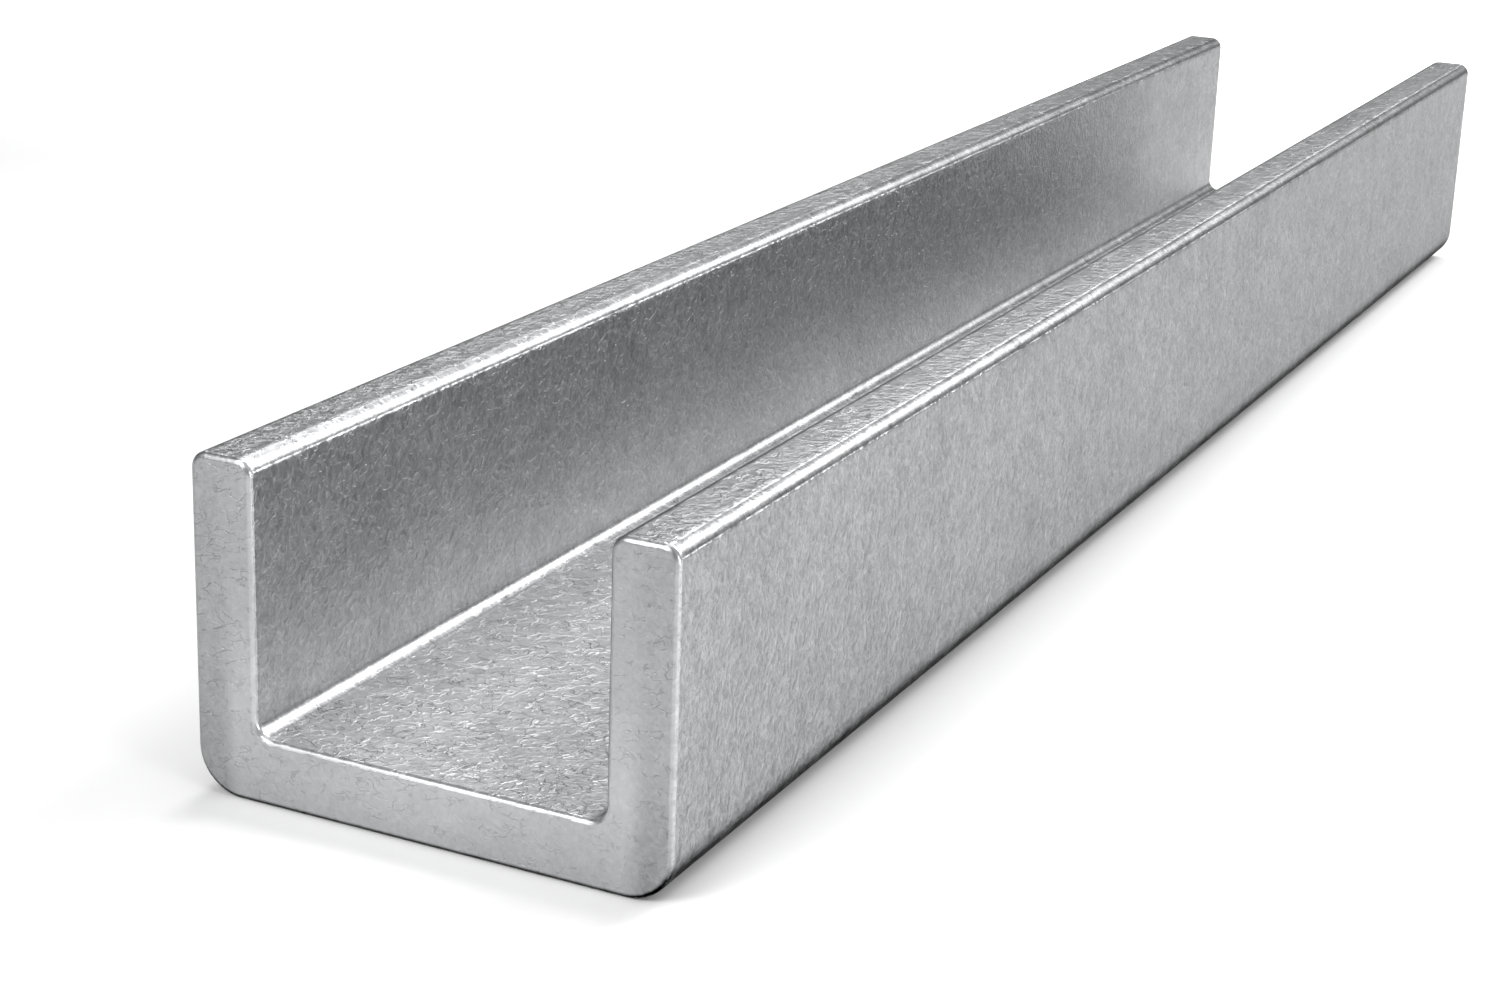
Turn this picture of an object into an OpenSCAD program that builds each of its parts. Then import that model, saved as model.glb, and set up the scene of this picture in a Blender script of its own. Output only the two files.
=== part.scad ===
// Steel U-channel: one rolled length of heavy parallel-flange channel with both ends dressed.
// It lies on its web with the open side up.
// X runs across the web, Y along the length and Z up; the origin is the centre of the underside.

/* [Channel] */
// Length, from end face to end face
length = 430; // [150:10:1200]
// Width across the outer faces of the two flanges
width = 75; // [50:1:120]
// Height of the flanges above the underside of the web
height = 50; // [30:1:90]

/* [Walls] */
// Thickness of each flange
flange_wall = 10; // [7:0.5:14]
// Thickness of the web
web_wall = 10; // [7:0.5:14]

/* [Rounding] */
// Radius of each heel, the outer corner where the web turns up into a flange
heel_radius = 7; // [3:0.5:12]
// Radius of each root, the inner corner between the web and a flange
root_radius = 2.5; // [1:0.5:8]
// Radius of the two long edges on top of each flange
toe_radius = 2.5; // [1.5:0.25:3]
// Radius of the dressed edge that runs round each end face
end_radius = 0.9; // [0.3:0.1:1.2]

/* [Hidden] */
$fn = 96;
// What is left of the length between the two rounded ends
straight_length = length - 2 * end_radius;
// How far the pieces of a rounded end reach into what they join
lap = (toe_radius - end_radius) / 2;

// The eight corners of the section, anticlockwise from the left heel, as [x, height, radius].
// A negative radius is a hollow corner. Depth is how far inside the finished surface they lie.
function section_corners(depth) =
    let (
        outer_x = width / 2 - depth,
        inner_x = width / 2 - flange_wall + depth,
        under = depth,
        floor = web_wall - depth,
        top = height - depth,
        heel = heel_radius - depth,
        toe = toe_radius - depth,
        root = -(root_radius + depth)
    )
    [
        [-outer_x, under, heel],
        [outer_x, under, heel],
        [outer_x, top, toe],
        [inner_x, top, toe],
        [inner_x, floor, root],
        [-inner_x, floor, root],
        [-inner_x, top, toe],
        [-outer_x, top, toe]
    ];

function place(corner) = [corner[0], corner[1]];
function direction(from, to) = (place(to) - place(from)) / norm(place(to) - place(from));
function angle_of(way) = atan2(way[1], way[0]);
// Unit vectors from corner i back along its first edge, and on along its second
function way_back(corners, i) = direction(corners[i], corners[(i + len(corners) - 1) % len(corners)]);
function way_on(corners, i) = direction(corners[i], corners[(i + 1) % len(corners)]);
// The centre of the arc at corner i
function arc_centre(corners, i) =
    place(corners[i]) + abs(corners[i][2]) * (way_back(corners, i) + way_on(corners, i));

// A quarter-round, with a square core that laps into the metal behind it
module rim_profile() {
    intersection() {
        circle(end_radius);
        square(end_radius);
    }
    translate([-lap, -lap]) square(lap + end_radius / 2);
}

// The sliver between a sharp corner and the arc that rounds it
module corner_sliver(corners, i) {
    radius = abs(corners[i][2]);
    centre = arc_centre(corners, i);
    start = place(corners[i]);
    difference() {
        translate([min(start[0], centre[0]), min(start[1], centre[1])]) square(radius);
        translate(centre) circle(radius);
    }
}

// The U outline with its heels, toes and roots
module section(depth) {
    corners = section_corners(depth);
    difference() {
        union() {
            polygon([for (corner = corners) place(corner)]);
            for (i = [0 : len(corners) - 1]) if (corners[i][2] < 0) corner_sliver(corners, i);
        }
        for (i = [0 : len(corners) - 1]) if (corners[i][2] > 0) corner_sliver(corners, i);
    }
}

// A quarter-round bar along the straight edge that follows corner i
module edge_bar(corners, i) {
    next = corners[(i + 1) % len(corners)];
    way = way_on(corners, i);
    start = place(corners[i]) + abs(corners[i][2]) * way;
    finish = place(next) - abs(next[2]) * way;
    translate([start[0], start[1], 0])
        rotate([90, 0, angle_of(way) + 90])
            linear_extrude(norm(finish - start)) mirror([1, 0]) rim_profile();
}

// The same quarter-round, turned through the arc of corner i
module corner_bar(corners, i) {
    radius = abs(corners[i][2]);
    hollow = corners[i][2] < 0;
    centre = arc_centre(corners, i);
    first_way = hollow ? -way_back(corners, i) : -way_on(corners, i);
    translate([centre[0], centre[1], 0])
        rotate(angle_of(first_way))
            rotate_extrude(angle = 90)
                translate([radius, 0]) mirror([hollow ? 1 : 0, 0]) rim_profile();
}

// The last bit of length at an end: the end face, and a quarter-round that follows its whole edge
module rounded_end() {
    corners = section_corners(end_radius);
    translate([0, 0, -lap]) linear_extrude(lap + end_radius) section(end_radius);
    for (i = [0 : len(corners) - 1]) {
        edge_bar(corners, i);
        corner_bar(corners, i);
    }
}

module u_channel() {
    color("silver") {
        rotate([90, 0, 0]) linear_extrude(straight_length, center = true) section(0);
        for (far = [0, 1])
            mirror([0, far, 0])
                translate([0, -straight_length / 2, 0])
                    rotate([90, 0, 0]) rounded_end();
    }
}

u_channel();
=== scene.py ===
"""Looks of the steel U-channel: its galvanised skin, and the pale studio that it lies in.

The CAD model is the fixed frame: its one node keeps its shape and gets a zinc skin here.
All lengths are in metres.
"""

import math
from types import SimpleNamespace

import bpy
from mathutils import Matrix, Vector


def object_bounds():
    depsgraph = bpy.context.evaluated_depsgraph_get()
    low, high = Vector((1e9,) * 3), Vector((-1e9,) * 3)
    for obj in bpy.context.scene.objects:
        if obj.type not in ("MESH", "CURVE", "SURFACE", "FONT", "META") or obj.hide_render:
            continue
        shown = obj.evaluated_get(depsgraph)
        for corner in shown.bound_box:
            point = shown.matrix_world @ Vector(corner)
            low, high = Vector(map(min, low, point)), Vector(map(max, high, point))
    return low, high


MM = 0.001

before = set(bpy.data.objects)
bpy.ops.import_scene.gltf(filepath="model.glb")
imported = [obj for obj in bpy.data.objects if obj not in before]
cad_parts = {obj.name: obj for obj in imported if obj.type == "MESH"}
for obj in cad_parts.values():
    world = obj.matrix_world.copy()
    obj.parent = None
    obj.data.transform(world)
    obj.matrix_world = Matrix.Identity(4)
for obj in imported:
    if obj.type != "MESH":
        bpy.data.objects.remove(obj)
cad_low, cad_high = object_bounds()
MIDDLE = (cad_low + cad_high) / 2

# The camera stands right of the front end, looks down on it and leans a little to one side.
CAMERA_AZIMUTH = math.radians(25.73)
CAMERA_ELEVATION = math.radians(18.50)
CAMERA_ROLL = math.radians(2.03)
CAMERA_DISTANCE = 0.450
CAMERA_AIM = MIDDLE + Vector((0.0042, -0.1266, 0))
LENS_MM = 68.24
SENSOR_MM = 36

# Name, azimuth, elevation, distance, diameter and watts of each softbox
SOFTBOXES = (
    ("key", -24, 30, 1.0, 0.45, 1.9),
    ("key_near", -10, 39, 0.58, 0.25, 1.25),
    ("right_near", 62, 10, 0.41, 0.15, 0.5),
    ("right", 115, 28, 0.53, 0.25, 0.25),
    ("corner", 65, 50, 1.0, 0.40, 0.4),
    ("top", 0, 85, 1.0, 0.60, 1.8),
    ("rim_right", 130, 30, 1.0, 0.30, 0.9),
    ("rim", 155, 28, 1.0, 0.35, 3.2),
    ("rim_high", 150, 50, 1.0, 0.35, 3.6),
    ("back", -170, 46, 1.0, 0.45, 1.25),
    ("sheen_near", -150, 58, 0.53, 0.22, 0.7),
)
WORLD_BRIGHTNESS = 0.15
FLOOR_SIZE = 12
FLOOR_WHITE = 0.9
# Behind the channel the floor starts to glow at the first distance from its middle, fully at the second
GLOW_START = 0.22
GLOW_FULL = 0.50
GLOW_STRENGTH = 0.8

ZINC = (0.409, 0.413, 0.419)
ROUGHNESS = 0.42
# How much light the dull skin still reflects at grazing angles
GRAZING_TINT = 0.45
# The creases in the zinc are longest in this direction, turned from across the channel to along it.
FLOW_ANGLE = math.radians(26)
# How much X, Y and Z are squeezed in the patterns of the creases and of the cracks
FLOW_SQUEEZE = (0.85, 1.0, 0.85)
CRACK_SQUEEZE = (0.7, 1.0, 1.3)
# The trough's surfaces end within the flanges: between these distances from the middle plane
TROUGH_INSIDE = cad_high.x - 7.5 * MM
TROUGH_OUTSIDE = cad_high.x - 3.5 * MM
# The painted highlight on the rim of an end starts between these distances from the middle of the length
RIM_START = cad_high.y - 1.4 * MM
RIM_FULL = cad_high.y - 0.8 * MM
# Between these heights the flanks of the trough fade from the painted reflection at their foot to their plain
# colour
FOOT_LOW = cad_low.z + 10 * MM
FOOT_HIGH = cad_low.z + 34 * MM
# Between these heights an end face fades from its painted shade at the bottom to its plain colour
BOTTOM_LOW = cad_low.z + 7 * MM
BOTTOM_HIGH = cad_low.z + 16 * MM


def direction(azimuth, elevation):
    """Unit vector towards a place round the object: azimuth 0 is in front, and it grows to the right."""
    return Vector(
        (
            math.sin(azimuth) * math.cos(elevation),
            -math.cos(azimuth) * math.cos(elevation),
            math.sin(elevation),
        )
    )


def add_camera():
    back = direction(CAMERA_AZIMUTH, CAMERA_ELEVATION)
    right = Vector((0, 0, 1)).cross(back).normalized()
    upright = Matrix((right, back.cross(right), back)).transposed()
    data = bpy.data.cameras.new("camera")
    data.lens = LENS_MM
    data.sensor_width = SENSOR_MM
    data.clip_start = 0.01
    camera = bpy.data.objects.new("camera", data)
    camera.matrix_world = (
        Matrix.Translation(CAMERA_AIM + back * CAMERA_DISTANCE)
        @ upright.to_4x4()
        @ Matrix.Rotation(CAMERA_ROLL, 4, "Z")
    )
    bpy.context.scene.collection.objects.link(camera)
    bpy.context.scene.camera = camera


def add_softbox(name, azimuth, elevation, distance, size, power):
    """A round soft lamp that faces the front part of the channel. The camera doesn't see it."""
    data = bpy.data.lights.new(name, "AREA")
    data.shape = "DISK"
    data.size = size
    data.energy = power
    lamp = bpy.data.objects.new(name, data)
    lamp.visible_camera = False
    towards = direction(math.radians(azimuth), math.radians(elevation))
    lamp.location = CAMERA_AIM + towards * distance
    lamp.rotation_mode = "QUATERNION"
    lamp.rotation_quaternion = towards.to_track_quat("Z", "Y")
    bpy.context.scene.collection.objects.link(lamp)


def add_floor():
    """A matt white floor. It glows behind the channel, where the lamps hardly reach."""
    bpy.ops.mesh.primitive_plane_add(size=FLOOR_SIZE, location=(0, 0, cad_low.z))
    floor = bpy.context.object
    floor.name = "floor"
    material = bpy.data.materials.new("floor")
    material.use_nodes = True
    tree = material.node_tree
    shader = tree.nodes["Principled BSDF"]
    shader.inputs["Base Color"].default_value = (FLOOR_WHITE, FLOOR_WHITE, FLOOR_WHITE, 1)
    shader.inputs["Roughness"].default_value = 0.9
    shader.inputs["Specular IOR Level"].default_value = 0.0
    shader.inputs["Emission Color"].default_value = (1, 1, 1, 1)
    place = tree.nodes.new("ShaderNodeTexCoord").outputs["Object"]
    away = -direction(CAMERA_AZIMUTH, 0)
    behind = add_node(tree, "ShaderNodeVectorMath", {0: place, 1: away}, operation="DOT_PRODUCT")
    glow = remap(tree, behind.outputs["Value"], GLOW_START, GLOW_FULL, 0.0, GLOW_STRENGTH)
    tree.links.new(glow, shader.inputs["Emission Strength"])
    floor.data.materials.append(material)


def add_world(brightness):
    world = bpy.data.worlds.new("studio")
    world.use_nodes = True
    world.node_tree.nodes["Background"].inputs["Color"].default_value = (1, 1, 1, 1)
    world.node_tree.nodes["Background"].inputs["Strength"].default_value = brightness
    bpy.context.scene.world = world


def add_node(tree, kind, inputs, **settings):
    """Add a shader node. Each input is a plain value, or another node's output that is linked in."""
    node = tree.nodes.new(kind)
    for name, value in settings.items():
        setattr(node, name, value)
    for name, value in inputs.items():
        if isinstance(value, bpy.types.NodeSocket):
            tree.links.new(value, node.inputs[name])
        else:
            node.inputs[name].default_value = value
    return node


def calculate(tree, operation, first, second=0.0):
    return add_node(tree, "ShaderNodeMath", {0: first, 1: second}, operation=operation).outputs[0]


def product(tree, first, second):
    return calculate(tree, "MULTIPLY", first, second)


def total(tree, base, parts):
    """The base and all the parts, each part times its own amount."""
    result = base
    for part, amount in parts:
        result = calculate(tree, "ADD", product(tree, part, amount), result)
    return result


def remap(tree, value, low, high, to_low=0.0, to_high=1.0):
    """Take low..high smoothly to to_low..to_high."""
    inputs = {"Value": value, 1: low, 2: high, 3: to_low, 4: to_high}
    node = add_node(tree, "ShaderNodeMapRange", inputs, interpolation_type="SMOOTHSTEP")
    return node.outputs[0]


def choose(tree, mask, elsewhere, inside):
    """One value where the mask is 1, and another where it is 0."""
    return remap(tree, mask, 0.0, 1.0, elsewhere, inside)


def except_for(tree, mask):
    """1 where the mask is 0, and 0 where it is 1."""
    return calculate(tree, "SUBTRACT", 1.0, mask)


def centred(tree, value):
    """The noise about 0 that was about 0.5."""
    return calculate(tree, "SUBTRACT", value, 0.5)


def scaled(tree, place, length):
    """The place in units of this length."""
    return add_node(tree, "ShaderNodeVectorMath", {0: place, 3: 1 / length}, operation="SCALE").outputs[0]


def squeezed(tree, place, amounts):
    """The place with each axis times its own amount: what is below 1 stretches the pattern."""
    return add_node(tree, "ShaderNodeVectorMath", {0: place, 1: amounts}, operation="MULTIPLY").outputs[0]


def noise(tree, place, length, detail=2.0, roughness=0.5):
    """Smooth noise about 0.5, with lumps of about this length."""
    inputs = {"Vector": scaled(tree, place, length), "Scale": 1.0, "Detail": detail, "Roughness": roughness}
    return add_node(tree, "ShaderNodeTexNoise", inputs).outputs["Fac"]


def crinkle(tree, place, length):
    """Winding crests about this far apart with finer ones between them, as in zinc that froze in a skin."""
    inputs = {"Vector": scaled(tree, place, length), "Scale": 1.0, "Detail": 3.0, "Roughness": 0.55}
    inputs.update({"Lacunarity": 2.2, "Offset": 1.0, "Gain": 1.6, "Distortion": 0.35})
    return add_node(tree, "ShaderNodeTexNoise", inputs, noise_type="RIDGED_MULTIFRACTAL").outputs["Fac"]


def threads(tree, place, spacing, width, coverage):
    """Thin crests that wander and break off: 1 on a crest, else 0."""
    off_crest = calculate(tree, "ABSOLUTE", centred(tree, noise(tree, place, spacing)))
    crest = remap(tree, off_crest, 0.0, 0.25 * width / spacing, 1.0, 0.0)
    patches = noise(tree, place, 1.4 * spacing, detail=1)
    return product(tree, crest, remap(tree, patches, 0.60 - coverage / 2, 0.75 - coverage / 2))


def hairlines(tree, place, cell, width):
    """Fine broken cracks between cells: 1 in a crack, else 0."""
    wobble = add_node(tree, "ShaderNodeTexNoise", {"Vector": scaled(tree, place, cell), "Scale": 1.5})
    bent = add_node(tree, "ShaderNodeVectorMath", {0: wobble.outputs["Color"], 3: cell}, operation="SCALE")
    moved = add_node(tree, "ShaderNodeVectorMath", {0: place, 1: bent.outputs[0]}, operation="ADD").outputs[0]
    inputs = {"Vector": scaled(tree, moved, cell), "Scale": 1.0}
    cells = add_node(tree, "ShaderNodeTexVoronoi", inputs, feature="DISTANCE_TO_EDGE")
    crack = remap(tree, cells.outputs["Distance"], 0.0, width / cell, 1.0, 0.0)
    breaks = noise(tree, place, cell, detail=1)
    return product(tree, crack, remap(tree, breaks, 0.45, 0.6))


def specks(tree, place, spacing, radius):
    """Sparse pinholes: 1 in a hole, else 0."""
    inputs = {"Vector": scaled(tree, place, spacing), "Scale": 1.0}
    holes = add_node(tree, "ShaderNodeTexVoronoi", inputs, feature="F1")
    return remap(tree, holes.outputs["Distance"], 0.5 * radius / spacing, radius / spacing, 1.0, 0.0)


def surface_masks(tree, place, normal):
    """The kinds of surface: each mask is 1 on its own kind and fades to 0 round it."""
    across, along, height = add_node(tree, "ShaderNodeSeparateXYZ", {0: place}).outputs
    facing = add_node(tree, "ShaderNodeSeparateXYZ", {0: normal}).outputs
    steep = [calculate(tree, "ABSOLUTE", part) for part in facing]
    steepest = calculate(tree, "MAXIMUM", calculate(tree, "MAXIMUM", steep[0], steep[1]), steep[2])
    upper = remap(tree, facing[2], -0.2, 0.1)
    upward = remap(tree, facing[2], 0.3, 0.9)
    inner = remap(tree, calculate(tree, "ABSOLUTE", across), TROUGH_INSIDE, TROUGH_OUTSIDE, 1.0, 0.0)
    from_middle = calculate(tree, "ABSOLUTE", along)

    masks = SimpleNamespace()
    # Rounded edges, except for those that face down, and the rims of the ends among them: the edges get
    # painted shade, the rims a painted highlight
    masks.edge = product(tree, remap(tree, steepest, 0.92, 0.998, 1.0, 0.0), upper)
    masks.end_edge = product(tree, masks.edge, remap(tree, from_middle, RIM_START, RIM_FULL))
    # The end faces, and the lowest part of them, which gets painted shade
    masks.endward = remap(tree, steep[1], 0.5, 0.9)
    masks.low_end = product(tree, masks.endward, remap(tree, height, BOTTOM_LOW, BOTTOM_HIGH, 1.0, 0.0))
    # The underside with the heels, which gets painted shade, and all that faces up: the web and the toes
    masks.downward = remap(tree, facing[2], -0.5, 0.02, 1.0, 0.0)
    masks.upward = upward
    masks.on_web = product(tree, upward, inner)
    masks.on_top = calculate(tree, "SUBTRACT", upward, masks.on_web)
    # The flanks of the trough with the end faces below it, and the lowest part of those flanks, which gets a
    # painted reflection
    masks.calm = product(tree, inner, except_for(tree, upward))
    masks.foot = product(tree, masks.calm, remap(tree, height, FOOT_LOW, FOOT_HIGH, 1.0, 0.0))
    return masks


def zinc_patterns(tree, place, masks):
    """The patterns in the zinc, which both the relief and the colour follow."""
    turned = add_node(
        tree, "ShaderNodeVectorRotate", {"Vector": place, "Angle": -FLOW_ANGLE}, rotation_type="Z_AXIS"
    ).outputs[0]
    flow = squeezed(tree, turned, FLOW_SQUEEZE)

    patterns = SimpleNamespace()
    patterns.creases = crinkle(tree, flow, 1.8 * MM)
    wrinkles = threads(tree, flow, 3.2 * MM, 0.36 * MM, 0.5)
    fine_wrinkles = threads(tree, flow, 2.0 * MM, 0.26 * MM, 0.35)
    patterns.lines = calculate(tree, "MAXIMUM", wrinkles, fine_wrinkles)
    patterns.grain = noise(tree, flow, 0.8 * MM, roughness=0.7)
    patterns.mottle = noise(tree, flow, 3 * MM, roughness=0.6)
    patterns.clouds = noise(tree, place, 20 * MM)
    cracks = hairlines(tree, squeezed(tree, place, CRACK_SQUEEZE), 2.0 * MM, 0.10 * MM)
    crack_share = choose(tree, calculate(tree, "MAXIMUM", masks.endward, masks.upward), 0.6, 1.0)
    patterns.cracks = product(tree, cracks, crack_share)
    patterns.pinholes = specks(tree, place, 6 * MM, 0.16 * MM)
    return patterns


def zinc_relief(tree, masks, patterns):
    """Height of the skin in millimetres."""
    crease_height = total(tree, 0.07, ((masks.on_web, -0.05), (masks.on_top, 0.04)))
    line_height = total(tree, 0.03, ((masks.on_web, 0.05), (masks.on_top, 0.02), (masks.calm, 0.02)))
    relief = total(
        tree, 0.0, ((patterns.creases, crease_height), (patterns.lines, line_height), (patterns.grain, 0.04))
    )
    for mask, share in ((masks.endward, 0.35), (masks.edge, 0.15), (masks.calm, 0.85)):
        relief = product(tree, relief, choose(tree, mask, 1.0, share))
    marks = total(tree, 0.0, ((patterns.cracks, -0.04), (patterns.pinholes, -0.03)))
    return calculate(tree, "ADD", product(tree, marks, except_for(tree, masks.edge)), relief)


def zinc_lightness_and_painted_light(tree, masks, patterns):
    """Lightness of the zinc, about 1, with painted light and shade laid into it."""
    # Paler crests and wrinkle lines: partly the zinc's own colour, partly a painted glint, strongest on the
    # web
    crests = remap(tree, patterns.creases, 1.35, 1.75)
    crests = product(tree, crests, choose(tree, masks.on_web, 1.0, 0.3))
    crest_tone_and_glint = total(
        tree, 0.20, ((masks.upward, 0.08), (masks.on_web, 0.30), (masks.calm, -0.02), (masks.endward, -0.12))
    )
    grain_tone = total(tree, 0.9, ((masks.on_web, -0.5), (masks.endward, -0.5)))
    return total(
        tree,
        1.0,
        (
            (centred(tree, patterns.grain), grain_tone),
            (centred(tree, patterns.mottle), choose(tree, masks.endward, 0.45, 0.15)),
            (centred(tree, patterns.clouds), 0.25),
            (calculate(tree, "MAXIMUM", crests, patterns.lines), crest_tone_and_glint),
            (patterns.cracks, choose(tree, masks.on_web, -0.15, -0.50)),
            (patterns.pinholes, -0.25),
            # Painted shade: the rounded edges are darker, which dims their highlights
            (masks.edge, -0.30),
            # Painted highlight along the rims of the ends
            (masks.end_edge, 0.50),
            # Painted shade: the heels and underside darkened almost to black, as a contact shadow
            (masks.downward, -1.05),
            # Painted shade: the end faces a little darker all over
            (masks.endward, -0.11),
            # Painted shade at the bottom of the end faces
            (masks.low_end, -0.09),
            # Painted light: the flanks of the trough and the faces below it a little paler
            (masks.calm, 0.09),
            # Painted light: the web a little paler
            (masks.on_web, 0.07),
            # Painted reflection of the web at the foot of the trough's flanks
            (masks.foot, 0.3),
        ),
    )


def zinc_skin():
    material = bpy.data.materials.new("zinc_skin")
    material.use_nodes = True
    tree = material.node_tree
    shader = tree.nodes["Principled BSDF"]
    shader.inputs["Metallic"].default_value = 1.0
    shader.inputs["Specular Tint"].default_value = (GRAZING_TINT, GRAZING_TINT, GRAZING_TINT, 1)

    coordinates = tree.nodes.new("ShaderNodeTexCoord").outputs
    masks = surface_masks(tree, coordinates["Object"], coordinates["Normal"])
    patterns = zinc_patterns(tree, coordinates["Object"], masks)

    relief = zinc_relief(tree, masks, patterns)
    bump = add_node(tree, "ShaderNodeBump", {"Strength": 1.0, "Distance": MM, "Height": relief})
    tree.links.new(bump.outputs[0], shader.inputs["Normal"])
    lightness = zinc_lightness_and_painted_light(tree, masks, patterns)
    colour = add_node(tree, "ShaderNodeVectorMath", {0: ZINC, 3: lightness}, operation="SCALE")
    tree.links.new(colour.outputs[0], shader.inputs["Base Color"])
    dullness = total(tree, ROUGHNESS, ((centred(tree, patterns.grain), 0.2), (masks.edge, -0.06)))
    tree.links.new(dullness, shader.inputs["Roughness"])
    return material


add_camera()
add_floor()
add_world(WORLD_BRIGHTNESS)
for softbox in SOFTBOXES:
    add_softbox(*softbox)
bpy.context.scene.view_settings.view_transform = "Standard"

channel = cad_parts["u_channel"]
channel.data.materials.clear()
channel.data.materials.append(zinc_skin())
